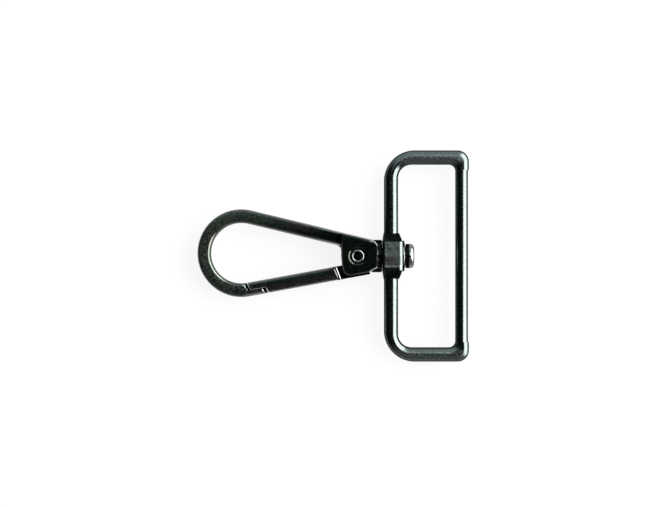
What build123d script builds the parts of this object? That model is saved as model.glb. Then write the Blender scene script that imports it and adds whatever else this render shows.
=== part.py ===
from build123d import *
from math import atan, cos, degrees, hypot, pi, radians, sin, sqrt, tan
import os

# Swivel snap hook with a sprung gate and a rectangular webbing ring, lying flat.
# Millimetres, +Z up. X runs along the swivel post, from the hook towards the ring.
# Each piece is drawn with the rivet at the origin and its mid-plane at Z = 0, and is moved into
# place when it is written: the object's middle goes over the origin and its underside to Z = 0.

# Hook bar: the section of the bight, the spine and the gate
throat_diameter = 12.56
bar_width = 2.86
bar_thickness = 3.8
bar_crown = 0.02
bar_draft = 0.28
bar_bevel = 0.25
bevel_drop = 0.2

# Hook outline: bight centre seen from the rivet, and the two lines that leave it
rivet_to_bight = 24.2
bight_rise = 0.59
spine_angle = 13.5
gate_angle = 10.4

# Block with the two cheeks
block_thickness = 6.9
block_front = 3.4
block_front_slant = 0.4
block_back = 4.2
block_edge = 0.25
block_top_edge = 0.62
block_top_drop = 0.2
throat_corner_radius = 1.35
cheek_inset = 0.45
cheek_corner_radius = 1.7
top_bevel_length = 0.9
top_bevel_drop = 1.15
low_bevel_length = 1.85
low_bevel_rise = 1.0
ramp_length = 6.0
ramp_lead = 0.8
ramp_below_face = 0.02

# Slot between the cheeks, round the gate's tongue
tongue_play = 0.1
root_clearance = 0.25
slot_slant = 45.0

# Collar, swivel post and peened head
collar_diameter = 6.8
collar_length = 2.7
collar_reach = 0.87
collar_edge = 0.2
post_diameter = 3.4
head_diameter = 5.1
head_length = 1.8
head_round = 0.85
head_under_round = 0.2

# Lapped nose, measured along the gate's line from where the bight ends
lap_start = 0.42
lap_length = 3.75
lap_height = 1.3
lap_gap = 0.02
lap_draft = 1.4
nose_gap = 0.07
lip_gap = 0.1
nose_depth = 0.9
bevel_tilt = 38.0
shoulder_lean = 14.0
shoulder_edge_lean = 27.5
shoulder_set_back = 0.47
shoulder_bevel = 0.25
lip_lean = 18.0
lip_edge_lean = 25.0
lip_set_back = 0.68
lip_bevel = 0.35
tip_lean = 12.0
step_lean = 22.0

# Gate behind its bar: shoulder, tongue and eye
shoulder_from_block = 1.49
gate_shoulder_lean = 11.7
gate_bevel = 0.22
gate_bevel_tilt = 16.0
gate_step_length = 0.25
gate_step_inset = 0.2
tongue_thickness = 2.4
tongue_reach = 1.9
eye_wall = 0.4

# Hinge rivet and its recesses
rivet_diameter = 2.66
rivet_fit = 0.02
gate_fit = 0.06
recess_margin = 0.57
recess_depth = 0.15
recess_slope = 0.26
rivet_head_clearance = 0.08
rivet_end_round = 0.16
dimple_rim = 0.33
dimple_depth = 1.4

# Gate spring and its pocket
wire_diameter = 0.35
coil_clearance = 0.345
coil_pitch = 0.38
coil_turns = 2
gate_leg = 3.5
leg_end_clearance = 0.2
pocket_clearance = 0.275
spring_clearance = 0.06
leg_window_start = 108.0
leg_window_end = 200.0

# Washer on the post
washer_diameter = 6.4
washer_thickness = 0.45
washer_dish = 0.24
washer_fit = 0.05
washer_edge = 0.12

# Webbing ring
ring_slot_length = 38.0
ring_slot_depth = 11.9
post_bar_width = 2.95
end_bar_width = 3.0
far_bar_width = 2.65
far_bar_step = 0.2
far_step_inset = 1.1
ring_thickness = 3.0
ring_round = 1.3
round_share = 0.49
post_side_outer_radius = 6.4
post_side_inner_radius = 2.8
far_side_outer_radius = 2.35
far_side_inner_radius = 1.35

# Boss on the ring
boss_width = 4.1
boss_thickness = 7.0
boss_offset = 0.2
boss_length = 9.5
boss_flat_length = 5.8
boss_flat_width = 3.1
boss_side_height = 6.3
boss_root_height = 2.6
boss_shoulder_length = 6.2
boss_flare = 0.6
boss_fit = 0.08
boss_end_play = 0.06

# Values worked out from the sizes above
throat_radius = throat_diameter / 2
outer_radius = throat_radius + bar_width
bight = Vector(-rivet_to_bight, bight_rise)
spine_along = Vector(cos(radians(spine_angle)), -sin(radians(spine_angle)))
spine_out = Vector(sin(radians(spine_angle)), cos(radians(spine_angle)))
gate_along = Vector(cos(radians(gate_angle)), sin(radians(gate_angle)))
gate_out = Vector(sin(radians(gate_angle)), -cos(radians(gate_angle)))
gate_line = Plane(origin=bight + gate_out * outer_radius, x_dir=gate_along, z_dir=(0, 0, 1))
rivet_s = (Vector(0, 0) - gate_line.origin).dot(gate_along)
rivet_h = (Vector(0, 0) - gate_line.origin).dot(gate_out) * -1
wire_radius = wire_diameter / 2
coil_radius = rivet_diameter / 2 + coil_clearance + wire_radius
coil_turn = coil_turns * 360 + 180 - gate_angle
coil_slope = coil_pitch / (2 * pi * coil_radius)
pocket_radius = coil_radius + wire_radius + pocket_clearance
eye_radius = pocket_radius + eye_wall
slot_radius = eye_radius + root_clearance
roof_x = (slot_radius - (coil_radius + wire_radius) * cos(radians(slot_slant))) / sin(radians(slot_slant))
body_leg = roof_x - leg_end_clearance
spring_height = wire_diameter + coil_pitch * coil_turn / 360 + coil_slope * (gate_leg + body_leg)
pocket_depth = spring_height + spring_clearance
recess_radius = rivet_diameter / 2 + recess_margin
gate_shoulder = rivet_s - block_front - shoulder_from_block
bevel_fall = tan(radians(bevel_tilt))
gate_bevel_fall = gate_bevel * tan(radians(gate_bevel_tilt))
collar_face = block_back + collar_reach
boss_start = collar_face + boss_end_play
boss_middle = boss_start + boss_width / 2
washer_start = boss_start + boss_width + boss_end_play
washer_end = washer_start + washer_dish + washer_thickness
head_end = washer_end + head_length
ring_start = boss_middle - boss_offset - post_bar_width / 2
ring_slot_start = ring_start + post_bar_width
ring_slot_end = ring_slot_start + ring_slot_depth
ring_end = ring_slot_end + far_bar_width + far_bar_step
overall_start = bight.X - outer_radius
origin_shift = -(overall_start + ring_end) / 2
half_height = max(boss_thickness, block_thickness) / 2
through = 2 * (boss_thickness + block_thickness)


def prism(points, thickness, plane=Plane.XY, draft=0.0):
    """Solid over a closed outline, half above and half below its plane, narrowing by its draft."""
    return extrude(plane * Polygon(*points, align=None), amount=thickness / 2, both=True, taper=draft)


def disc_x(radius, start, end):
    """Round solid about the swivel's axis from one X to another."""
    return Plane.YZ.offset(start) * extrude(Circle(radius), amount=end - start)


def leaned(start, height, lean):
    """Place along the gate's line of a face that leans towards the bight as it rises."""
    return start - height * tan(radians(lean))


def spine_top(x):
    """Y of the spine's outer line."""
    return bight.Y + (outer_radius - spine_out.X * (x - bight.X)) / spine_out.Y


def spine_inner(x):
    """Y of the spine's inner line."""
    return bight.Y + (throat_radius - spine_out.X * (x - bight.X)) / spine_out.Y


def cheek_bottom(x):
    """Y of the cheeks' lower edge, set in from the gate's outer line."""
    return bight.Y - (outer_radius - cheek_inset - gate_out.X * (x - bight.X)) / -gate_out.Y


def bar_section(plane, thickness):
    """Crowned bar section with drafted sides and bevelled edges, its middle at the plane's origin."""
    side = bar_width / 2
    shoulder = side - bar_draft
    top = shoulder - bar_bevel
    crown_z = thickness / 2
    top_z = crown_z - bar_crown
    shoulder_z = top_z - bevel_drop
    corners = [(top, -top_z), (shoulder, -shoulder_z), (side, 0), (shoulder, shoulder_z), (top, top_z)]
    right = Polyline(*corners)
    left = Polyline(*[(-across, -up) for across, up in corners])
    upper = ThreePointArc((top, top_z), (0, crown_z), (-top, top_z))
    lower = ThreePointArc((-top, -top_z), (0, -crown_z), (top, -top_z))
    return plane * make_face(right + upper + left + lower)


def section_plane(point, along):
    """Plane across a bar, with Z upwards as its second direction."""
    return Plane(origin=point, x_dir=along.cross(Vector(0, 0, 1)), z_dir=along * -1)


def gate_point(s, h):
    """Point in the hook's plan from its place along and height above the gate's outer line."""
    return gate_line.from_local_coords(Vector(s, h))


def bight_bar():
    """Lip, bight, spine and the ramp that thickens towards the block."""
    middle = throat_radius + bar_width / 2
    low_tangent = bight + gate_out * middle
    high_tangent = bight + spine_out * middle
    turn = 180 + spine_angle + gate_angle
    ramp_reach = block_front + ramp_lead + ramp_length
    spine_length = (Vector(0, 0) - high_tangent).dot(spine_along) - ramp_reach
    low_plane = section_plane(low_tangent, gate_along)
    spine_plane = section_plane(high_tangent, spine_along)
    ramp_start = high_tangent + spine_along * spine_length
    ramp_end = section_plane(ramp_start + spine_along * ramp_length, spine_along)
    full = block_thickness - 2 * ramp_below_face
    lip = extrude(bar_section(low_plane, bar_thickness), amount=-lap_start - lap_length)
    bend = revolve(bar_section(low_plane, bar_thickness), Axis(bight, (0, 0, -1)), turn)
    spine = extrude(bar_section(spine_plane, bar_thickness), amount=-spine_length)
    ramp = loft([
        bar_section(section_plane(ramp_start, spine_along), bar_thickness),
        bar_section(ramp_end, full),
    ])
    root = extrude(bar_section(ramp_end, full), amount=-block_front - ramp_lead)
    return lip + bend + spine + ramp + root


def throat_web():
    """Rounded inner corner between the spine and the block's front face."""
    back = -block_front
    front = back - 2 * throat_corner_radius
    low = spine_inner(back) - 2 * throat_corner_radius
    middle = bar_width / 2
    corner = Vector(back, spine_inner(back))
    outline = Polygon(
        (front, spine_inner(front) + middle), (0, spine_inner(0) + middle), (0, low), (back, low),
        (corner.X, corner.Y), (front, spine_inner(front)), align=None,
    )
    corner_point = outline.vertices().sort_by_distance(corner)[0]
    outline = fillet(corner_point, throat_corner_radius)
    shoulder_z = bar_thickness / 2 - bar_crown - bevel_drop
    return extrude(outline, amount=shoulder_z, both=True, taper=degrees(atan(bar_draft / shoulder_z)))


def block():
    """Flat block whose halves are the two cheeks, with bevelled corners and edges."""
    front = -block_front
    low_front = front + block_front_slant
    high_x = block_back - top_bevel_length
    low_x = block_back - low_bevel_length
    outline = Polygon(
        (front, spine_top(front)), (high_x, spine_top(high_x)),
        (block_back, spine_top(high_x) - top_bevel_drop),
        (block_back, cheek_bottom(low_x) + low_bevel_rise), (low_x, cheek_bottom(low_x)),
        (low_front, cheek_bottom(low_front)), (front, 0), align=None,
    )
    corner = outline.vertices().sort_by_distance(Vector(low_front, cheek_bottom(low_front)))[0]
    blank = extrude(fillet(corner, cheek_corner_radius), amount=block_thickness / 2, both=True)
    rims = blank.faces().filter_by(Axis.Z).edges()
    rims = rims.filter_by(lambda rim: rim.center().Y < spine_top(rim.center().X) - block_edge)
    return chamfer(rims, block_edge)


def top_edge_cuts():
    """Two wedges that give the block's long upper side the bar's draft and a wider bevel."""
    plane = section_plane(Vector(0, spine_top(0)), spine_along)
    half = block_thickness / 2
    length = 2 * (block_front + block_back)
    wedges = []
    for side in (1, -1):
        wedges.append(prism([
            (-block_top_edge, 0), (0, 0), (bar_draft, side * (half - block_top_drop)),
            (2 * block_top_edge - bar_draft, side * (half + block_top_drop)),
            (-block_top_edge, side * (half + block_top_drop)),
        ], length, plane))
    return wedges


def slot():
    """Space for the gate's tongue, open to the throat and to the gate's side."""
    slant = radians(slot_slant)
    touch = Vector(-sin(slant), cos(slant)) * slot_radius
    run = Vector(-cos(slant), -sin(slant)) * (2 * block_front)
    outline = Polygon(
        (touch.X, touch.Y), (touch.X + run.X, touch.Y + run.Y), (touch.X + run.X, -through),
        (slot_radius, -through), (slot_radius, 0), (0, 0), align=None,
    )
    half_width = tongue_thickness / 2 + tongue_play
    return extrude(outline + Circle(slot_radius), amount=half_width, both=True)


def slanted(corners, low, high):
    """Solid between two heights of the gate's line whose corners (place, z, lean) lean as they rise."""
    outlines = []
    for height in (low, high):
        plane = Plane(origin=gate_point(0, height), x_dir=gate_along, z_dir=gate_out * -1)
        points = [(leaned(place, height - low, lean), -z) for place, z, lean in corners]
        outlines.append(plane * Polygon(*points, align=None))
    return loft(outlines, ruled=True)


def set_back_cuts(ridge, lean, edge, edge_lean, bevel, low, high, reach):
    """Two cutters that slope a slanted end back from its mid depth to a bevel along each face's edge."""
    face_z = bar_thickness / 2
    deep_z = face_z - nose_depth
    fall = bevel * bevel_fall
    cuts = []
    for side in (1, -1):
        cuts.append(slanted([
            (ridge, side * deep_z, lean), (edge + bevel, side * (face_z - fall), edge_lean),
            (edge - bevel, side * (face_z + fall), edge_lean), (reach, side * (face_z + fall), 0),
            (reach, side * deep_z, 0),
        ], low, high))
    return cuts


def nose_cuts():
    """What the lapped nose takes off the end of the hook's bar."""
    top = bar_width + bar_bevel
    lap_top = lap_height - lap_gap / 2
    lip_end = lap_start + lap_length
    past_end = lip_end + bar_width
    above_lip = prism([
        (lap_start, lap_top), (leaned(lap_start, top - lap_top, shoulder_lean), top),
        (past_end, top), (past_end, lap_top),
    ], 2 * bar_thickness, gate_line, -lap_draft)
    past_lip = prism([
        (lip_end, -bar_bevel), (leaned(lip_end, lap_top + 2 * bar_bevel, lip_lean), lap_top + bar_bevel),
        (past_end, lap_top + bar_bevel), (past_end, -bar_bevel),
    ], through, gate_line)
    shoulder = set_back_cuts(lap_start, shoulder_lean, lap_start - shoulder_set_back, shoulder_edge_lean,
                             shoulder_bevel, lap_top, top, past_end)
    lip = set_back_cuts(lip_end, lip_lean, lip_end - lip_set_back, lip_edge_lean,
                        lip_bevel, -bar_bevel, lap_top + bar_bevel, past_end)
    return [above_lip, past_lip] + shoulder + lip


def rivet_hole(diameter):
    """Straight hole through everything on the hinge line."""
    return Cylinder(diameter / 2, through)


def rivet_recesses():
    """Shallow round recess with a sloped wall in the outer face of each cheek."""
    front = block_thickness / 2
    floor = recess_radius - recess_slope
    mouth = recess_radius + recess_slope
    return [Pos(0, 0, front) * Cone(floor, mouth, 2 * recess_depth),
            Pos(0, 0, -front) * Cone(mouth, floor, 2 * recess_depth)]


def swivel_post():
    """Collar, post and peened head, turned about X."""
    collar = disc_x(collar_diameter / 2, collar_face - collar_length, collar_face)
    collar = chamfer(collar.edges().filter_by(GeomType.CIRCLE).sort_by(Axis.X)[-1], collar_edge)
    post = disc_x(post_diameter / 2, collar_face - collar_edge, washer_end + head_under_round)
    head = disc_x(head_diameter / 2, washer_end, head_end)
    rims = head.edges().filter_by(GeomType.CIRCLE).sort_by(Axis.X)
    head = fillet(rims[-1], head_round)
    rims = head.edges().filter_by(GeomType.CIRCLE).sort_by(Axis.X)
    head = fillet(rims[0], head_under_round)
    return collar + post + head


def hook_body():
    """The hook casting: bight, spine, slotted block, collar and swivel post."""
    body = bight_bar() + throat_web() + swivel_post() + (block() - top_edge_cuts())
    body -= slot()
    body -= rivet_hole(rivet_diameter + 2 * rivet_fit)
    for cut in rivet_recesses() + nose_cuts():
        body -= cut
    return body


def shoulder_bevels(start, height):
    """Two cutters that bevel the upper and lower edges of a leaning shoulder."""
    cuts = []
    for side in (1, -1):
        cuts.append(slanted([
            (start - gate_bevel, side * (height + gate_bevel_fall), gate_shoulder_lean),
            (start + 2 * gate_bevel, side * (height - 2 * gate_bevel_fall), gate_shoulder_lean),
            (start + 2 * gate_bevel, side * (height + gate_bevel_fall), gate_shoulder_lean),
        ], -bar_bevel, bar_width + bar_bevel))
    return cuts


def gate_bar():
    """The gate's bar, cut to the lapped nose at one end and to the leaning shoulder at the other."""
    top = bar_width + bar_bevel
    lap_bottom = lap_height + lap_gap / 2
    tip = lap_start + nose_gap
    step = lap_start + lap_length + lip_gap
    end = gate_shoulder + gate_bevel
    middle = gate_line.origin - gate_out * (bar_width / 2)
    plane = section_plane(middle, gate_along)
    blank = extrude(bar_section(plane, bar_thickness), amount=-end - bar_width)
    keep = prism([
        (tip, lap_bottom), (leaned(step, lap_bottom, step_lean), lap_bottom),
        (leaned(step, -bar_bevel, step_lean), -bar_bevel),
        (leaned(end, -bar_bevel, gate_shoulder_lean), -bar_bevel),
        (leaned(end, top, gate_shoulder_lean), top),
        (leaned(tip, top - lap_bottom, tip_lean), top),
    ], 2 * bar_thickness, gate_line, lap_draft)
    start = leaned(gate_shoulder, -bar_bevel, gate_shoulder_lean)
    return (blank & keep) - shoulder_bevels(start, bar_thickness / 2)


def gate_step():
    """Thinner step between the gate's shoulder and its tongue."""
    height = bar_thickness / 2 - gate_bevel_fall
    low = gate_step_inset
    high = bar_width - gate_step_inset
    edge = gate_shoulder + gate_bevel + gate_step_length
    end = edge + gate_bevel
    start = gate_shoulder - bar_width / 2
    step = prism([
        (start, low), (leaned(end, low, gate_shoulder_lean), low),
        (leaned(end, high, gate_shoulder_lean), high), (start, high),
    ], 2 * height, gate_line)
    return step - shoulder_bevels(leaned(edge, -bar_bevel, gate_shoulder_lean), height)


def gate_tongue():
    """Flat tongue and eye that turn in the slot."""
    end = rivet_s + tongue_reach
    flat = prism([
        (gate_shoulder, 0), (end, 0), (end, rivet_h), (rivet_s, rivet_h), (rivet_s, bar_width),
        (leaned(gate_shoulder, bar_width, gate_shoulder_lean), bar_width),
    ], tongue_thickness, gate_line)
    return flat + Cylinder(eye_radius, tongue_thickness)


def spring_pocket():
    """Round pocket in the tongue with a groove for one leg and a window for the other."""
    floor = tongue_thickness / 2 - pocket_depth
    height = through
    lift = Pos(0, 0, floor + height / 2)
    round_part = lift * Cylinder(pocket_radius, height)
    groove_low = rivet_h - coil_radius - wire_radius - spring_clearance
    groove = lift * prism([
        (rivet_s - gate_leg - wire_diameter, groove_low), (rivet_s, groove_low),
        (rivet_s, rivet_h), (rivet_s - gate_leg - wire_diameter, rivet_h),
    ], height, gate_line)
    angles = (leg_window_start, (leg_window_start + leg_window_end) / 2, leg_window_end)
    reach = 2 * eye_radius
    rim = [(reach * cos(radians(angle)), reach * sin(radians(angle))) for angle in angles]
    window = lift * prism([(0, 0)] + rim, height)
    return round_part + groove + window


def gate():
    """The gate casting with its eye and spring pocket."""
    body = gate_bar() + gate_step() + gate_tongue()
    body -= spring_pocket()
    return body - rivet_hole(rivet_diameter + 2 * gate_fit)


def gate_rivet():
    """Hinge pin: flush head at the back, dimpled end in the front recess."""
    front = block_thickness / 2
    shank = Cylinder(rivet_diameter / 2, block_thickness)
    dimple = Pos(0, 0, front - dimple_depth / 2) * Cone(0, rivet_diameter / 2 - dimple_rim, dimple_depth)
    shank -= dimple
    rims = shank.edges().filter_by(GeomType.CIRCLE).group_by(Axis.Z)[-1]
    shank = fillet(rims, min(rivet_end_round, round_share * dimple_rim))
    rim = recess_radius - rivet_head_clearance
    head = Cone(rim, rim - recess_slope, recess_depth)
    return shank + Pos(0, 0, -front + recess_depth / 2) * head


def gate_spring():
    """Torsion spring: a leg on the gate, the coil round the rivet and a leg on the slot's slanted roof."""
    floor = tongue_thickness / 2 - pocket_depth
    low = floor + spring_clearance + wire_radius + coil_slope * gate_leg
    coil = Helix(coil_pitch, coil_pitch * coil_turn / 360, coil_radius)
    coil = Pos(0, 0, low) * Rot(0, 0, gate_angle - 90) * coil
    start_point = coil @ 0
    end_point = coil @ 1
    leg_on_gate = Line(start_point - (coil % 0) * gate_leg, start_point)
    leg_on_body = Line(end_point, end_point + (coil % 1) * body_leg)
    path = Wire([leg_on_gate.edge(), coil.edge(), leg_on_body.edge()])
    profile = Plane(origin=leg_on_gate @ 0, z_dir=leg_on_gate % 0) * Circle(wire_radius)
    return sweep(profile, path, is_frenet=False)


def post_washer():
    """Dished washer between the ring's boss and the peened head."""
    bore = post_diameter / 2 + washer_fit
    rim = washer_diameter / 2
    back = washer_dish + washer_thickness
    outline = Polygon((washer_dish, bore), (back, bore), (washer_thickness, rim), (0, rim), align=None)
    radius = min(washer_edge, round_share * washer_thickness)
    outline = fillet(outline.vertices().sort_by(Axis.Y)[-2:], radius)
    return revolve(Pos(washer_start, 0) * outline, Axis.X)


def corner_wall(bar, outside, inside):
    """Wall along the diagonal of a ring corner, from its long bar's width and its two radii."""
    return hypot(bar, end_bar_width) - (outside - inside) * (sqrt(2) - 1)


def ring_frame(far_width):
    """Rounded rectangular frame with one far-bar width."""
    outer_half = ring_slot_length / 2 + end_bar_width
    end = ring_slot_end + far_width
    outer = Polygon((ring_start, -outer_half), (end, -outer_half),
                    (end, outer_half), (ring_start, outer_half), align=None)
    inner_half = ring_slot_length / 2
    inner = Polygon((ring_slot_start, -inner_half), (ring_slot_end, -inner_half),
                    (ring_slot_end, inner_half), (ring_slot_start, inner_half), align=None)
    outer = fillet(outer.vertices().sort_by(Axis.X)[:2], post_side_outer_radius)
    outer = fillet(outer.vertices().sort_by(Axis.X)[-2:], far_side_outer_radius)
    inner = fillet(inner.vertices().sort_by(Axis.X)[:2], post_side_inner_radius)
    inner = fillet(inner.vertices().sort_by(Axis.X)[-2:], far_side_inner_radius)
    frame = extrude(outer - inner, amount=ring_thickness / 2, both=True)
    post_corner = corner_wall(post_bar_width, post_side_outer_radius, post_side_inner_radius)
    far_corner = corner_wall(far_bar_width, far_side_outer_radius, far_side_inner_radius)
    wall = min(ring_thickness, far_bar_width, end_bar_width, post_bar_width, post_corner, far_corner)
    return fillet(frame.faces().filter_by(Axis.Z).edges(), min(ring_round, round_share * wall))


def ring_boss():
    """Faceted boss: its plan, its end view and its side view, each cut through the other two."""
    half = boss_width / 2
    bar = post_bar_width / 2
    plan = prism([
        (-bar - boss_offset, -boss_length / 2 - boss_flare), (-half, -boss_shoulder_length / 2),
        (-half, boss_shoulder_length / 2), (-bar - boss_offset, boss_length / 2 + boss_flare),
        (bar - boss_offset, boss_length / 2 + boss_flare), (half, boss_shoulder_length / 2),
        (half, -boss_shoulder_length / 2), (bar - boss_offset, -boss_length / 2 - boss_flare),
    ], through)
    top = boss_thickness / 2
    low = boss_root_height / 2
    end = boss_length / 2
    flat = boss_flat_length / 2
    facets = prism([
        (-end, -low), (-flat, -top), (flat, -top), (end, -low),
        (end, low), (flat, top), (-flat, top), (-end, low),
    ], through, Plane.YZ)
    flat = boss_flat_width / 2
    side = boss_side_height / 2
    flanks = prism([
        (-half, -side), (-flat, -top), (flat, -top), (half, -side),
        (half, side), (flat, top), (-flat, top), (-half, side),
    ], through, Plane.XZ)
    return Pos(boss_middle, 0) * (plan & facets & flanks)


def swivel_ring():
    """The ring casting: frame with thicker far corners, faceted boss and bore."""
    middle = Pos(ring_slot_end + far_bar_width / 2 + through / 2, 0)
    middle *= Box(through, ring_slot_length - 2 * far_step_inset, through)
    frame = (ring_frame(far_bar_width + far_bar_step) - middle) + (ring_frame(far_bar_width) & middle)
    bore = disc_x(post_diameter / 2 + boss_fit, boss_start - boss_width, boss_start + 2 * boss_width)
    return frame + ring_boss() - bore


def write(name, piece):
    """Move a piece from the rivet's frame to the part's frame and write it."""
    export_step(Pos(origin_shift, 0, half_height) * piece, f"parts/{name}.step")


os.makedirs("parts", exist_ok=True)
write("hook_body", hook_body())
write("gate", gate())
write("gate_rivet", gate_rivet())
write("gate_spring", gate_spring())
write("post_washer", post_washer())
write("swivel_ring", swivel_ring())
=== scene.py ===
import math

import bpy
import numpy as np
from bpy.props import FloatProperty, FloatVectorProperty, PointerProperty
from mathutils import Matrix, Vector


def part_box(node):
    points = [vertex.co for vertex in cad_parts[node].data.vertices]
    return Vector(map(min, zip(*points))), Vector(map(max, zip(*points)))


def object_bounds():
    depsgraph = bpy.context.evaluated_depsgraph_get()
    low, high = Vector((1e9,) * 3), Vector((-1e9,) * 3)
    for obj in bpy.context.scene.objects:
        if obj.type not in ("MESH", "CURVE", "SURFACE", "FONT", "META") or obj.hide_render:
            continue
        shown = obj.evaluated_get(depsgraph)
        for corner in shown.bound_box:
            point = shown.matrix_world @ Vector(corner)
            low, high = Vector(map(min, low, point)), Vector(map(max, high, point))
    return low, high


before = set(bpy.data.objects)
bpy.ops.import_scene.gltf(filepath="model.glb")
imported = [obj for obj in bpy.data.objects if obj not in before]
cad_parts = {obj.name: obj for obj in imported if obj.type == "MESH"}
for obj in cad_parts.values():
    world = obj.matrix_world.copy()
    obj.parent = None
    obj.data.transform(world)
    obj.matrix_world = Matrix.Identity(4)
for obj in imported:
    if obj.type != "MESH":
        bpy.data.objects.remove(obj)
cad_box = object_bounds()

bl_info = {
    "name": "Swivel snap hook",
    "version": (1, 0, 0),
    "blender": (4, 5, 0),
    "location": "View3D > Sidebar > Snap Hook",
    "description": "Dresses the snap hook in dark nickel plating and sets its table, light and camera",
    "category": "Object",
}

MM = 0.001
MIDDLE = (cad_box[0].z + cad_box[1].z) / 2

# The gate's outer line at rest, as a point on it and its angle. The lap, the hook's nose and the gate's
# shoulder are placed along this line and inwards from it.
GATE_LINE = (-17.48 * MM, -8.40 * MM)
GATE_ANGLE = math.radians(10.4)

# Marks on the metal are bands and fades. A band is where a mark begins, where it ends and how far it eases
# off outside them. A fade is where a mark has gone and where it is full.

# Bands and fades along the gate's line and inwards from it.
# The lap's bands are where the joint between gate and hook is painted dark as shade and made dull.
LAP_ALONG = (0.45 * MM, 3.9 * MM, 0.1 * MM)
LAP_INWARDS = (1.05 * MM, 1.50 * MM, 0.06 * MM)
# The nose's bands are where a highlight is painted on the bevels of the hook's nose.
NOSE_ALONG = (-1.0 * MM, 4.0 * MM, 0.1 * MM)
NOSE_INWARDS = (3.2 * MM, 2.9 * MM)
GATE_OUTER_HALF = (1.7 * MM, 1.2 * MM)
# The shoulder's band is where a highlight is painted on the gate's shoulder bevels.
SHOULDER = (18.62 * MM, 19.6 * MM, 0.03 * MM)
SHOULDER_LEAN = 0.207

# Bands and fades above and below the middle plane.
# BAR_SIDES and RING_SIDES are where painted shade darkens the sides of the bars and of the ring; BLOCK_SIDES
# keeps the painted shade beside the collar to the block's sides.
BAR_SIDES = (1.88 * MM, 1.70 * MM)
# SHOULDER_SIDES keeps the painted highlight on the gate's shoulder to its top and bottom bevels.
SHOULDER_SIDES = (1.72 * MM, 1.66 * MM)
RING_SIDES = (1.20 * MM, 0.95 * MM)
BLOCK_SIDES = (3.20 * MM, 3.05 * MM)
BOSS_TOP = (3.30 * MM, 3.45 * MM)
# NOSE_BEVELS is the height of the nose's bevels, where a highlight is painted; BLOCK_BEVELS is the height of
# the block's bevels, painted with shade left of the block's end and with highlights at its corners.
NOSE_BEVELS = (1.68 * MM, 1.86 * MM, 0.01 * MM)
BLOCK_BEVELS = (3.19 * MM, 3.43 * MM, 0.01 * MM)

# Bands and fades of the hook, along X from the rivet.
SATIN_TO_POLISHED = (-30.0 * MM, 3.0 * MM)
BROWN_PATCH = (-13.5 * MM, -10.0 * MM, 1.5 * MM)
# BLOCK_END: the block's bevels are painted with shade up to here.
BLOCK_END = (2.6 * MM, 2.2 * MM)
# BLOCK_CORNERS is where highlights are painted on the block's corners.
BLOCK_CORNERS = (2.6 * MM, 4.2 * MM, 0.1 * MM)
# BESIDE_COLLAR, COLLAR and HEAD_ROOT are where shade is painted: on the block's sides beside the collar, in
# the collar, and on the left part of the post's head.
BESIDE_COLLAR = (2.7 * MM, 4.3 * MM, 0.2 * MM)
COLLAR = (4.25 * MM, 5.3 * MM, 0.1 * MM)
HEAD_ROOT = (9.9 * MM, 10.7 * MM, 0.15 * MM)
# PEENED_RIM is where a highlight is painted on the rounded rim of the post's head.
PEENED_RIM = (10.6 * MM, 10.9 * MM)

# The bight's centre from the rivet, and where the painted shade round the bars' sides is left off the
# bight's inner side: fades outwards from that centre and to its left.
BIGHT_CENTRE = (-24.2 * MM, 0.59 * MM)
BIGHT_UNSHADED_OUTWARDS = (7.3 * MM, 7.1 * MM)
BIGHT_UNSHADED_LEFTWARDS = (0.0, -3.0 * MM)

# How far the ring's boss reaches along X, as a fade from the ring's lowest X.
BOSS_REACH = (4.4 * MM, 4.3 * MM)

# Bands and fades of the ring along Y, or away from Y = 0 for the two that come in pairs.
BOSS_FLAT = (-2.30 * MM, 3.10 * MM, 0.1 * MM)
# BOSS_LOWER_EDGE is where a highlight is painted along the lower edge of the boss's flat.
BOSS_LOWER_EDGE = (-2.25 * MM, -1.90 * MM, 0.1 * MM)
BOSS_LOWER_HALF = (0.4 * MM, -0.3 * MM)
# The next two are where shade is painted: in a band across the boss's flat above its lower edge, and on the
# boss's two end slopes.
BOSS_SHADE_BAND = (-1.80 * MM, -0.20 * MM, 0.2 * MM)
BOSS_ENDS = (2.95 * MM, 4.65 * MM, 0.1 * MM)
RING_ENDS = (19.0 * MM, 20.0 * MM)

# Fades of the small steel: outwards from the rivet's middle, and along Y on the washer.
# Both are where shade is painted: in the rivet's punched dimple and on the washer's rim towards its two ends.
PUNCH_MARK = (0.98 * MM, 0.86 * MM)
WASHER_ENDS = (1.5 * MM, 2.1 * MM)

# Strength of single marks, from 0 to 1.
# The next three are strengths of painted highlights: on the rim of the post's head, on the block's corners
# and along the boss's lower edge.
RIM_SHINE = 0.6
CORNER_SHINE = 0.7
BOSS_EDGE_SHINE = 0.3
# How much glossier the painted highlights on the hook's nose and the gate's shoulder are made.
HIGHLIGHT_GLOSS = 0.5
WEAR_WARMTH = 0.3
BOSS_WEAR = 0.5
# The next two are strengths of painted shade on the boss, in the band across its flat and on its end slopes.
BOSS_BAND_SHADE = 0.5
BOSS_END_SHADE = 0.8
RING_END_SATIN = 0.7

# Fades over the values of the noise: where the drift turns warm, where clouds darken the plating, where they
# leave it rough, and where it is pitted.
WARM_DRIFT = (0.62, 0.92)
DARK_CLOUDS = (0.30, 0.70)
ROUGH_CLOUDS = (0.74, 0.26)
PITS = (0.60, 0.78)

# Height of the parting line, where the clouds of a casting rise to 1.
PARTING_HEIGHT = 1.5

# Roughness of each finish, in its dark clouds and in its clear places.
HOOK_SATIN = (0.18, 0.29)
HOOK_POLISHED = (0.07, 0.13)
GATE_UPPER = (0.12, 0.19)
GATE_LOWER = (0.15, 0.22)
RING_POLISHED = (0.10, 0.18)
RING_SATIN = (0.24, 0.36)
RIVET_FINISH = (0.14, 0.24)
WIRE_FINISH = (0.20, 0.30)
WASHER_FINISH = (0.18, 0.30)

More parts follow.
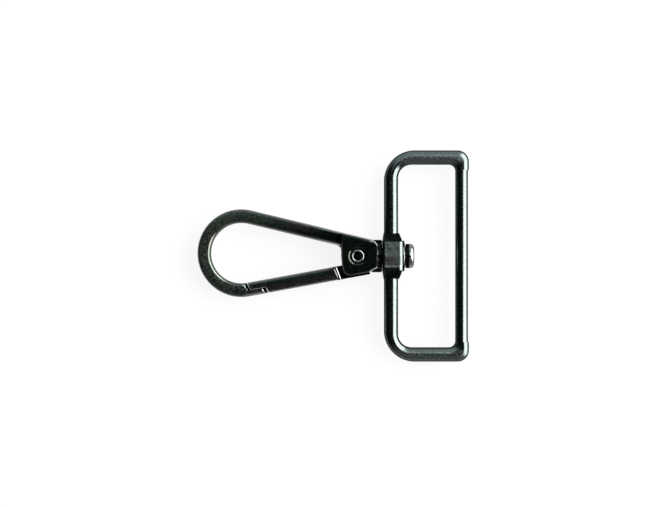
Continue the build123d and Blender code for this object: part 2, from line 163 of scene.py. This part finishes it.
# The lapped joint is painted dark as shade in its narrow gap and given a dull roughness, and dark plating
# mirrors less at a glancing angle than clean metal.
LAP_ROUGHNESS = 0.8
EDGE_TINT = (0.4, 0.4, 0.4, 1.0)

# Shading of the solids: points this close are joined, and edges sharper than this stay crisp.
JOIN_DISTANCE = 1e-7
CRISP_ANGLE = math.radians(24)


def colour(name, description, default):
    """Colour property, in linear light."""
    return FloatVectorProperty(
        name=name, description=description, default=default, size=3, min=0.0, max=8.0, subtype="COLOR")


def length(name, description, millimetres):
    """Length property, given in millimetres and kept in metres."""
    return FloatProperty(
        name=name, description=description, default=millimetres * MM,
        min=0.0, precision=5, subtype="DISTANCE", unit="LENGTH")


def share(name, description, default):
    """Property from 0 to 1."""
    return FloatProperty(
        name=name, description=description, default=default, min=0.0, max=1.0, subtype="FACTOR")


class SnapHookPlating(bpy.types.PropertyGroup):
    """Colours and grain of the dark nickel plating."""

    cool: colour("Cool plating", "Reflectance of the ring, which looks teal-grey", (0.168, 0.196, 0.192))
    olive: colour("Olive plating", "Reflectance of the greener hook and gate", (0.158, 0.188, 0.156))
    warm: colour("Warm plating", "Reflectance where the plating looks brown-grey", (0.215, 0.165, 0.170))
    # Bright metal is also the colour of the painted highlights on the hook's nose, the post head's rim, the
    # block's corners, the gate's shoulder and the boss's lower edge.
    bright: colour("Bright metal", "Reflectance of rubbed edges, rivet and washer", (0.42, 0.43, 0.44))
    steel: colour("Spring steel", "Reflectance of the spring wire", (0.32, 0.32, 0.33))
    # Strength of the painted shade in the collar and beside it, on the left part of the post's head, in the
    # lap, on the boss, in the rivet's punch mark and on the washer's ends.
    painted_shade: share("Grime", "How much dirt darkens the collar, lap, boss, washer and punch mark", 0.92)
    # Strength of the painted shade round the sides of the bars and the ring, and on the block's bevels left
    # of its end.
    side_shade: share("Side tarnish", "How much duller the plating is round the sides of the bars", 0.7)
    drift_size: length("Colour drift", "Size of the slow changes of colour", 2.6)
    mottle_size: length("Mottle", "Size of the cloudy patches in the plating", 0.55)
    pit_size: length("Pits", "Spacing of the fine casting pits", 0.16)
    parting_width: length("Parting line", "Width of the trimmed line where the mould's halves met", 0.12)


class SnapHookStage(bpy.types.PropertyGroup):
    """Table, light and camera."""

    camera_height: length("Camera height", "Camera above the object's middle plane", 400.0)
    pixels_per_mm: FloatProperty(
        name="Image scale", description="Pixels of the 663 wide image to a millimetre", default=4.8, min=0.1)
    table_size: length("Table", "Side of the square table top", 8000.0)
    table_colour: colour("Table top", "Colour of the table top", (0.9, 0.9, 0.9))
    backdrop: share("Backdrop", "Share of the table's look that is plain white, as a lit backdrop", 0.88)
    key: FloatProperty(
        name="Window light", description="Strength of the tall soft light on the right", default=6.0)
    room: colour("Dark room", "Light from overhead and from the left", (0.010, 0.020, 0.015))
    far_wall: colour("Far wall", "Light from beyond the object's upper side", (0.65, 0.80, 0.80))
    near_wall: colour("Near wall", "Light from the object's lower side", (0.27, 0.26, 0.27))
    skirting: colour("Horizon", "Light from just above the table's edge", (0.85, 0.85, 0.85))


class Shade:
    """Wraps a socket, so that an expression on values adds its Math nodes."""

    def __init__(self, paint, socket):
        self.paint = paint
        self.socket = socket

    def join(self, operation, *values):
        """Value of a Math node with this operation on these values."""
        return self.paint.node("ShaderNodeMath", "Value", {"operation": operation}, dict(enumerate(values)))

    def __add__(self, other):
        return self.join("ADD", self, other)

    def __sub__(self, other):
        return self.join("SUBTRACT", self, other)

    def __rsub__(self, other):
        return self.join("SUBTRACT", other, self)

    def __mul__(self, other):
        return self.join("MULTIPLY", self, other)

    def __abs__(self):
        return self.join("ABSOLUTE", self)

    __radd__ = __add__
    __rmul__ = __mul__

    def step(self, low, high):
        """0 below low and 1 above high, eased between them; falls instead where low is above high."""
        settings = {"interpolation_type": "SMOOTHSTEP"}
        inputs = {"Value": self, "From Min": low, "From Max": high}
        return self.paint.node("ShaderNodeMapRange", "Result", settings, inputs)


class Paint:
    """Node tree of one material or of the world."""

    def __init__(self, owner):
        owner.use_nodes = True
        self.tree = owner.node_tree
        self.tree.nodes.clear()

    def node(self, kind, output, settings=None, inputs=None):
        """Adds a node of this kind, sets it, fills or links its inputs, and gives the output asked for."""
        made = self.tree.nodes.new(kind)
        for name, value in (settings or {}).items():
            setattr(made, name, value)
        for key, value in (inputs or {}).items():
            socket = self.find(made.inputs, key)
            if isinstance(value, Shade):
                self.tree.links.new(value.socket, socket)
            else:
                socket.default_value = value
        return None if output is None else Shade(self, self.find(made.outputs, output))

    @staticmethod
    def find(sockets, key):
        """Socket by its place, its identifier or its name."""
        if isinstance(key, int):
            return sockets[key]
        return next((s for s in sockets if s.identifier == key), None) or sockets[key]

    def split(self, vector):
        """Three values of a vector."""
        return [self.node("ShaderNodeSeparateXYZ", axis, None, {"Vector": vector}) for axis in "XYZ"]

    def noise(self, vector, size, detail=2.0, rough=0.5, warp=0.0):
        """Cloudy noise from 0 to 1 whose patches have this size in metres."""
        inputs = {
            "Vector": vector, "Scale": 1 / size, "Detail": detail, "Roughness": rough, "Distortion": warp}
        return self.node("ShaderNodeTexNoise", "Fac", None, inputs)

    def blend(self, factor, low, high):
        """Colour between two colours, each a socket or three numbers."""
        ends = {"Factor_Float": factor, "A_Color": four(low), "B_Color": four(high)}
        return self.node("ShaderNodeMix", "Result_Color", {"data_type": "RGBA"}, ends)

    def scale(self, tint, factor):
        """Colour times a value."""
        inputs = {0: tint if isinstance(tint, Shade) else tuple(tint), "Scale": factor}
        return self.node("ShaderNodeVectorMath", "Vector", {"operation": "SCALE"}, inputs)


def four(tint):
    """Colour with its alpha, or the socket as it is."""
    return tint if isinstance(tint, Shade) else (*tint, 1.0)


def between(value, band, start=0.0):
    """1 inside a band counted from start, easing to 0 outside it."""
    low, high, ease = band
    return value.step(start + low - ease, start + low) * value.step(start + high + ease, start + high)


def fading(value, fade, start=0.0):
    """0 where a mark has gone and 1 where it is full, both counted from start."""
    gone, full = fade
    return value.step(start + gone, start + full)


def merged(first, second, amount):
    """The first value where the amount is 0, and the second where it is 1."""
    return first * (1 - amount) + second * amount


def off_middle(axes):
    """How far a place is above or below the middle plane."""
    return abs(axes[2] - MIDDLE)


def distance(axes, centre):
    """How far a place is from a point, both seen from above."""
    x, y = axes[0] - centre[0], axes[1] - centre[1]
    square = x * x + y * y
    return square.join("SQRT", square)


def on_gate_line(axes):
    """How far along the gate's outer line a place is, and how far inwards from it, both in metres at rest."""
    x, y = axes[0] - GATE_LINE[0], axes[1] - GATE_LINE[1]
    turn, tilt = math.cos(GATE_ANGLE), math.sin(GATE_ANGLE)
    return x * turn + y * tilt, y * turn - x * tilt


def in_lap(axes):
    """1 along the joint where the gate's nose lies on the hook's lip, which is painted dark as shade in its
    narrow gap.
    """
    along, inwards = on_gate_line(axes)
    return between(along, LAP_ALONG) * between(inwards, LAP_INWARDS)


def on_bar_sides(axes):
    """1 round the sides of the hook's and the gate's bars, where painted shade darkens them."""
    return fading(off_middle(axes), BAR_SIDES)


def metal(name, base, roughness, height, relief, dull=None):
    """Material of bare or plated metal, with a function each for its colour, roughness and height.

    base, roughness and height take the paint, the place and its three values. relief is what a height of 1
    stands for, in metres. dull gives where the roughness is raised towards the lapped joint's, from 0 to 1.
    """
    material = bpy.data.materials.new(name)
    paint = Paint(material)
    vector = paint.node("ShaderNodeTexCoord", "Object")
    axes = paint.split(vector)
    rough = roughness(paint, vector, axes)
    if dull:
        rough = rough + (LAP_ROUGHNESS - rough) * dull(axes)
    normal = paint.node("ShaderNodeBump", "Normal", None, {
        "Strength": 1.0, "Distance": relief, "Height": height(paint, vector, axes)})
    surface = paint.node("ShaderNodeBsdfPrincipled", "BSDF", None, {
        "Base Color": base(paint, vector, axes), "Metallic": 1.0,
        "Roughness": rough, "Normal": normal, "Specular Tint": EDGE_TINT})
    paint.node("ShaderNodeOutputMaterial", None, None, {"Surface": surface})
    return material


def mottled(paint, vector, look):
    """Clouds that the plating's colour and its roughness share."""
    return paint.noise(vector, look.mottle_size, detail=3.0, rough=0.65)


def plated_colour(look, cool, warmth, depth, side_shaded, worn, in_shade, painted_highlight):
    """Colour function: cool and warm plating drift into each other, and clouds darken it by up to depth.

    The mask functions give, each from 0 to 1 and in this order: where painted shade darkens the sides of the
    bars, where the plating is browner, where further painted shade darkens it, and where a highlight is
    painted bright.
    """

    def base(paint, vector, axes):
        drift = paint.noise(vector, look.drift_size, detail=3.0, rough=0.6, warp=0.4)
        warm = fading(drift + WEAR_WARMTH * worn(axes), WARM_DRIFT, -warmth)
        shade = 1 - depth * fading(mottled(paint, vector, look), DARK_CLOUDS)
        # Painted shade darkens the sides of the bars.
        shade = shade * (1 - look.side_shade * side_shaded(axes))
        # Further painted shade darkens the places its mask gives.
        shade = shade * (1 - look.painted_shade * in_shade(axes))
        tint = paint.scale(paint.blend(warm, cool, look.warm), shade)
        # Painted highlight: the colour blends towards the bright metal's colour where its mask gives.
        return paint.blend(painted_highlight(axes), tint, look.bright)

    return base


def plain_colour(tint, size, depth, painted_shade=0.0, in_shade=None):
    """Colour function: noise of this size darkens a colour by up to depth, and painted shade by up to its
    strength.
    """

    def base(paint, vector, axes):
        shade = 1 - depth * paint.noise(vector, size)
        # Painted shade darkens the places its mask gives.
        if in_shade:
            shade = shade * (1 - painted_shade * in_shade(axes))
        return paint.scale(tint, shade)

    return base


def pitted(look, clouds, pits):
    """Height function: soft clouds, fine pits and the trimmed parting line in the middle plane."""

    def height(paint, vector, axes):
        cloud = paint.noise(vector, look.mottle_size)
        pit = fading(paint.noise(vector, look.pit_size, rough=0.6), PITS)
        line = off_middle(axes).step(look.parting_width, look.parting_width / 3)
        return clouds * cloud - pits * pit + PARTING_HEIGHT * line

    return height


def uneven(look, finish):
    """Roughness function of a finish, in the same clouds as the colour."""
    low, high = finish

    def roughness(paint, vector, axes):
        return low + (high - low) * fading(mottled(paint, vector, look), ROUGH_CLOUDS)

    return roughness


def dress(node, material):
    """Puts a material on a solid and smooths its shading."""
    node.data.materials.clear()
    node.data.materials.append(material)
    smooth(node)


def smooth(node):
    """Joins a solid's loose triangles for shading and keeps its real edges crisp.

    The work is left to modifiers, so the mesh itself keeps its points and faces.
    """
    node.data.polygons.foreach_set("use_smooth", np.ones(len(node.data.polygons), bool))
    weld = node.modifiers.new("join triangles", "WELD")
    weld.merge_threshold = JOIN_DISTANCE
    split = node.modifiers.new("crisp edges", "EDGE_SPLIT")
    split.split_angle = CRISP_ANGLE
    even = node.modifiers.new("even shading", "WEIGHTED_NORMAL")
    even.weight = 100


class SNAPHOOK_OT_hook(bpy.types.Operator):
    """Plates the hook casting"""

    bl_idname = "snaphook.hook"
    bl_label = "Hook"

    def execute(self, context):
        look = context.scene.snaphook_plating
        low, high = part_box("gate_rivet")
        rivet = (low[0] + high[0]) / 2
        bight = (rivet + BIGHT_CENTRE[0], (low[1] + high[1]) / 2 + BIGHT_CENTRE[1])
        satin = uneven(look, HOOK_SATIN)
        polished = uneven(look, HOOK_POLISHED)

        # Painted highlight on the bevels of the hook's nose, outside the lap.
        def nose_bevels(axes):
            along, inwards = on_gate_line(axes)
            at_nose = between(along, NOSE_ALONG) * fading(inwards, NOSE_INWARDS)
            return at_nose * (1 - in_lap(axes)) * between(off_middle(axes), NOSE_BEVELS)

        def block_edges(axes):
            return between(off_middle(axes), BLOCK_BEVELS)

        # The bight's inner side, where the painted side shade is left off.
        def in_bight(axes):
            outwards = fading(distance(axes, bight), BIGHT_UNSHADED_OUTWARDS)
            return outwards * fading(axes[0], BIGHT_UNSHADED_LEFTWARDS, bight[0])

        # Painted shade round the bars' sides, and on the block's bevels left of its end.
        def side_shaded(axes):
            bars = on_bar_sides(axes) * (1 - in_bight(axes))
            return bars + block_edges(axes) * fading(axes[0], BLOCK_END, rivet)

        def roughness(paint, vector, axes):
            on_block = fading(axes[0], SATIN_TO_POLISHED, rivet)
            rough = merged(satin(paint, vector, axes), polished(paint, vector, axes), on_block)
            return rough * (1 - HIGHLIGHT_GLOSS * nose_bevels(axes))

        # Painted highlights on the nose's bevels, the rim of the post's head and the block's corners.
        def painted_highlight(axes):
            peened_rim = fading(axes[0], PEENED_RIM, rivet)
            corners = block_edges(axes) * between(axes[0], BLOCK_CORNERS, rivet)
            return nose_bevels(axes) + RIM_SHINE * peened_rim + CORNER_SHINE * corners

        def brown_patch(axes):
            return between(axes[0], BROWN_PATCH, rivet)

        # Painted shade: in the collar, on the block's sides beside it, on the left part of the post's head
        # and in the lap.
        def hook_shade(axes):
            collar = between(axes[0], COLLAR, rivet)
            beside_collar = between(axes[0], BESIDE_COLLAR, rivet) * fading(off_middle(axes), BLOCK_SIDES)
            head = between(axes[0], HEAD_ROOT, rivet)
            return collar.join("MAXIMUM", collar, beside_collar) + head + in_lap(axes)

        dress(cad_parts["hook_body"], metal(
            "hook plating",
            plated_colour(
                look, look.olive, warmth=0.10, depth=0.40,
                side_shaded=side_shaded, worn=brown_patch, in_shade=hook_shade, painted_highlight=painted_highlight),
            roughness, pitted(look, clouds=1.0, pits=0.5), relief=0.004 * MM, dull=in_lap))
        return {"FINISHED"}


class SNAPHOOK_OT_gate(bpy.types.Operator):
    """Plates the gate casting"""

    bl_idname = "snaphook.gate"
    bl_label = "Gate"

    def execute(self, context):
        look = context.scene.snaphook_plating
        upper = uneven(look, GATE_UPPER)
        lower = uneven(look, GATE_LOWER)

        def outer_half(axes):
            return fading(on_gate_line(axes)[1], GATE_OUTER_HALF)

        # Painted highlight on the bevels of the gate's shoulder.
        def shoulder(axes):
            along, inwards = on_gate_line(axes)
            bevels = between(along + SHOULDER_LEAN * inwards, SHOULDER)
            return bevels * (1 - fading(off_middle(axes), SHOULDER_SIDES))

        def roughness(paint, vector, axes):
            rough = merged(upper(paint, vector, axes), lower(paint, vector, axes), outer_half(axes))
            return rough * (1 - HIGHLIGHT_GLOSS * shoulder(axes))

        dress(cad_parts["gate"], metal(
            "gate plating",
            plated_colour(
                look, look.olive, warmth=0.08, depth=0.50,
                side_shaded=on_bar_sides, worn=outer_half, in_shade=in_lap, painted_highlight=shoulder),
            roughness, pitted(look, clouds=1.0, pits=0.8), relief=0.004 * MM, dull=in_lap))
        return {"FINISHED"}


class SNAPHOOK_OT_ring(bpy.types.Operator):
    """Plates the webbing ring and its boss"""

    bl_idname = "snaphook.ring"
    bl_label = "Ring"

    def execute(self, context):
        look = context.scene.snaphook_plating
        low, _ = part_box("swivel_ring")
        polished = uneven(look, RING_POLISHED)
        satin = uneven(look, RING_SATIN)

        def boss_flat(axes):
            return fading(off_middle(axes), BOSS_TOP) * between(axes[1], BOSS_FLAT)

        # Painted highlight along the lower edge of the boss's flat.
        def boss_edge(axes):
            return BOSS_EDGE_SHINE * boss_flat(axes) * between(axes[1], BOSS_LOWER_EDGE)

        def lower_half(axes):
            return BOSS_WEAR * boss_flat(axes) * fading(axes[1], BOSS_LOWER_HALF)

        # Painted shade on the boss's end slopes and in a band across its flat.
        def boss_shade(axes):
            ends = between(abs(axes[1]), BOSS_ENDS) * fading(axes[0], BOSS_REACH, low[0])
            shade_band = boss_flat(axes) * between(axes[1], BOSS_SHADE_BAND)
            return BOSS_END_SHADE * ends + BOSS_BAND_SHADE * shade_band

        # Painted shade round the ring's sides.
        def side_shaded(axes):
            return fading(off_middle(axes), RING_SIDES)

        def roughness(paint, vector, axes):
            on_satin = boss_flat(axes) + RING_END_SATIN * fading(abs(axes[1]), RING_ENDS)
            return merged(polished(paint, vector, axes), satin(paint, vector, axes), on_satin)

        dress(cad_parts["swivel_ring"], metal(
            "ring plating",
            plated_colour(
                look, look.cool, warmth=0.05, depth=0.25,
                side_shaded=side_shaded, worn=lower_half, in_shade=boss_shade, painted_highlight=boss_edge),
            roughness, pitted(look, clouds=1.0, pits=0.1), relief=0.002 * MM))
        return {"FINISHED"}


class SNAPHOOK_OT_small_steel(bpy.types.Operator):
    """Finishes the rivet, the spring and the washer"""

    bl_idname = "snaphook.small_steel"
    bl_label = "Rivet, spring and washer"

    def execute(self, context):
        look = context.scene.snaphook_plating
        low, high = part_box("gate_rivet")
        centre = ((low[0] + high[0]) / 2, (low[1] + high[1]) / 2)

        # Painted shade in the rivet's punched dimple.
        def punch_mark(axes):
            return fading(distance(axes, centre), PUNCH_MARK)

        # Painted shade on the washer's rim towards its two ends.
        def washer_ends(axes):
            return fading(abs(axes[1] - centre[1]), WASHER_ENDS)

        dress(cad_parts["gate_rivet"], metal(
            "burnished rivet",
            plain_colour(look.bright, look.pit_size, depth=0.3, painted_shade=look.painted_shade, in_shade=punch_mark),
            uneven(look, RIVET_FINISH), pitted(look, clouds=0.6, pits=0.6), relief=0.002 * MM))
        dress(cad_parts["gate_spring"], metal(
            "spring wire",
            plain_colour(look.steel, look.pit_size, depth=0.3),
            uneven(look, WIRE_FINISH), pitted(look, clouds=0.3, pits=0.3), relief=0.001 * MM))
        dress(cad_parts["post_washer"], metal(
            "washer plating",
            plain_colour(look.bright, look.mottle_size, depth=0.5, painted_shade=look.painted_shade, in_shade=washer_ends),
            uneven(look, WASHER_FINISH), pitted(look, clouds=0.5, pits=0.5), relief=0.002 * MM))
        return {"FINISHED"}


class SNAPHOOK_OT_stage(bpy.types.Operator):
    """Sets the table, the light and the camera straight above"""

    bl_idname = "snaphook.stage"
    bl_label = "Table, light and camera"

    def execute(self, context):
        stage = context.scene.snaphook_stage
        lay_table(context.scene, stage)
        light_room(context.scene, stage)
        set_camera(context.scene, stage)
        context.scene.view_settings.view_transform = "Standard"
        return {"FINISHED"}


def lay_table(scene, stage):
    """Square white table top at Z = 0."""
    side = np.array([-0.5, 0.5]) * stage.table_size
    x, y = np.meshgrid(side, side)
    points = np.stack([x.ravel(), y.ravel(), np.zeros(4)], axis=1)
    mesh = bpy.data.meshes.new("table_top")
    mesh.from_pydata(points, [], [(0, 1, 3, 2)])
    table = bpy.data.objects.new("table_top", mesh)
    scene.collection.objects.link(table)
    material = bpy.data.materials.new("white table")
    paint = Paint(material)
    plain = paint.node("ShaderNodeBsdfDiffuse", "BSDF", None, {"Color": four(stage.table_colour)})
    white = paint.node("ShaderNodeEmission", "Emission", None, {"Color": (1, 1, 1, 1), "Strength": 1.0})
    camera, glossy, through = [
        paint.node("ShaderNodeLightPath", ray)
        for ray in ("Is Camera Ray", "Is Glossy Ray", "Is Transmission Ray")]
    factor = stage.backdrop * (camera + glossy + through).step(0.0, 1.0)
    mixed = paint.node("ShaderNodeMixShader", "Shader", None, {0: factor, 1: plain, 2: white})
    paint.node("ShaderNodeOutputMaterial", None, None, {"Surface": mixed})
    mesh.materials.append(material)


def headings(*degrees):
    """Headings in radians, counted from +X towards +Y."""
    return tuple(math.radians(angle) for angle in degrees)


def heights(*degrees):
    """Z of a direction this far above the horizon."""
    return tuple(math.sin(math.radians(angle)) for angle in degrees)


# Bands and fades of the room's light. The window's sides are counted from its middle, and each wall has a
# fade for both of its ends.
WINDOW_MIDDLE = math.radians(14)
WINDOW_SIDES = headings(54, 40)
WINDOW_TOP = heights(68, 60)
TALLER_PART = headings(32, 62, 14)
TALLER_RAISE = 0.07
FAR_WALL_ENDS = (headings(45, 80), headings(150, 115))
FAR_WALL_TOP = heights(85, 78)
NEAR_WALL_ENDS = (headings(-35, -70), headings(-150, -115))
NEAR_WALL_TOP = heights(82, 72)
HORIZON_TOP = (0.08, 0.03)


def light_room(scene, stage):
    """World: a dark room with a pale far wall, a grey near wall and a pale horizon.

    A tall soft window fills its right side, and is tallest at the upper right.
    """
    scene.world = bpy.data.worlds.new("room")
    paint = Paint(scene.world)
    x, y, z = paint.split(paint.node("ShaderNodeTexCoord", "Generated"))
    heading = x.join("ARCTAN2", y, x)

    def wall(ends, top):
        return fading(heading, ends[0]) * fading(heading, ends[1]) * fading(z, top)

    across = fading(abs(heading - WINDOW_MIDDLE), WINDOW_SIDES)
    window = across * fading(z - TALLER_RAISE * between(heading, TALLER_PART), WINDOW_TOP)
    light = paint.blend(wall(FAR_WALL_ENDS, FAR_WALL_TOP), stage.room, stage.far_wall)
    light = paint.blend(wall(NEAR_WALL_ENDS, NEAR_WALL_TOP), light, stage.near_wall)
    light = paint.blend(fading(z, HORIZON_TOP), light, stage.skirting)
    light = paint.blend(window, light, (stage.key, stage.key, stage.key))
    background = paint.node("ShaderNodeBackground", "Background", None, {"Color": light, "Strength": 1.0})
    paint.node("ShaderNodeOutputWorld", None, None, {"Surface": background})


def set_camera(scene, stage):
    """Camera straight above, with the photograph's scale and framing."""
    width, height = 663, 507
    middle_column, middle_row = 333.15, 256.0
    lens = bpy.data.cameras.new("camera")
    camera = bpy.data.objects.new("camera", lens)
    scene.collection.objects.link(camera)
    lens.sensor_fit = "HORIZONTAL"
    lens.sensor_width = 36.0
    lens.lens = stage.pixels_per_mm / MM * stage.camera_height * lens.sensor_width / width
    lens.clip_start = 0.01
    lens.clip_end = 20.0
    camera.location = (
        (width / 2 - middle_column) / stage.pixels_per_mm * MM,
        (middle_row - height / 2) / stage.pixels_per_mm * MM,
        MIDDLE + stage.camera_height,
    )
    scene.camera = camera


class SNAPHOOK_PT_panel(bpy.types.Panel):
    """Sidebar panel with the plating, the stage and the buttons that make them"""

    bl_idname = "SNAPHOOK_PT_panel"
    bl_label = "Snap Hook"
    bl_space_type = "VIEW_3D"
    bl_region_type = "UI"
    bl_category = "Snap Hook"

    def draw(self, context):
        for group in (context.scene.snaphook_plating, context.scene.snaphook_stage):
            box = self.layout.box()
            for name in group.__annotations__:
                box.prop(group, name)
        for operator in OPERATORS:
            self.layout.operator(operator.bl_idname)


OPERATORS = (
    SNAPHOOK_OT_hook, SNAPHOOK_OT_gate, SNAPHOOK_OT_ring, SNAPHOOK_OT_small_steel, SNAPHOOK_OT_stage,
)
CLASSES = (SnapHookPlating, SnapHookStage, *OPERATORS, SNAPHOOK_PT_panel)


def register():
    for made in CLASSES:
        bpy.utils.register_class(made)
    bpy.types.Scene.snaphook_plating = PointerProperty(type=SnapHookPlating)
    bpy.types.Scene.snaphook_stage = PointerProperty(type=SnapHookStage)


def unregister():
    del bpy.types.Scene.snaphook_stage
    del bpy.types.Scene.snaphook_plating
    for made in reversed(CLASSES):
        bpy.utils.unregister_class(made)


def main():
    register()
    bpy.ops.snaphook.hook()
    bpy.ops.snaphook.gate()
    bpy.ops.snaphook.ring()
    bpy.ops.snaphook.small_steel()
    bpy.ops.snaphook.stage()


if __name__ == "__main__":
    main()
